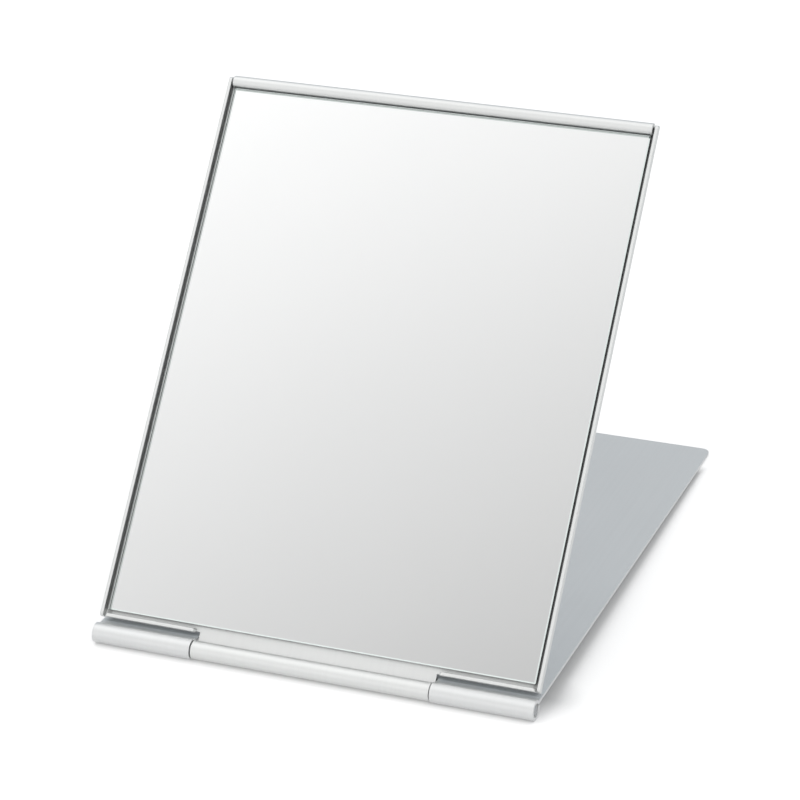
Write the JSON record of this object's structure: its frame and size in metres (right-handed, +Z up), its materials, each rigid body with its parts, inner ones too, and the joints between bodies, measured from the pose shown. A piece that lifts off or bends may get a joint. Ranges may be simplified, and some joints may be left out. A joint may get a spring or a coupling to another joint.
{
  "type": "folding mirror",
  "caption": "Folding desk mirror: glass in a bent sheet-metal tray, hinged along its lower edge to a flat cover that swings round behind it as the stand.",
  "frame": {"origin": "on the table under the middle of the opened mirror, halfway between the hinge barrel's front and the cover's rear edge", "axes": "+X along the hinge to the right of someone looking into the mirror, +Y away from them towards the cover's rear edge, +Z up"},
  "size_m": [0.12, 0.1568, 0.1209],
  "materials": {
    "cover_aluminium": "satin anodised",
    "tray_aluminium": "satin anodised",
    "glass": "polished",
    "silver": "silvered",
    "pin_steel": "drawn",
    "tape": "foam tape",
    "sleeve_plastic": "moulded",
    "pad_rubber": "matt"
  },
  "bodies": {
    "stand": {"cover_plate": "cover_aluminium", "hinge_pin": "pin_steel", "friction_sleeve_left": "sleeve_plastic", "friction_sleeve_right": "sleeve_plastic", "bumper_pad_left": "pad_rubber", "bumper_pad_right": "pad_rubber"},
    "mirror": {"mirror_tray": "tray_aluminium", "mirror_glass": "glass", "silver_backing": "silver", "tape_strip_left": "tape", "tape_strip_middle": "tape", "tape_strip_right": "tape", "friction_sleeve_middle_left": "sleeve_plastic", "friction_sleeve_middle_right": "sleeve_plastic"}
  },
  "joints": [
    {"name": "mirror_fold", "type": "hinge", "parent": "stand", "child": "mirror", "pos_m": [0, -0.0758, 0.0026], "axis": [1, 0, 0], "range_deg": [0, 308.6]}
  ]
}
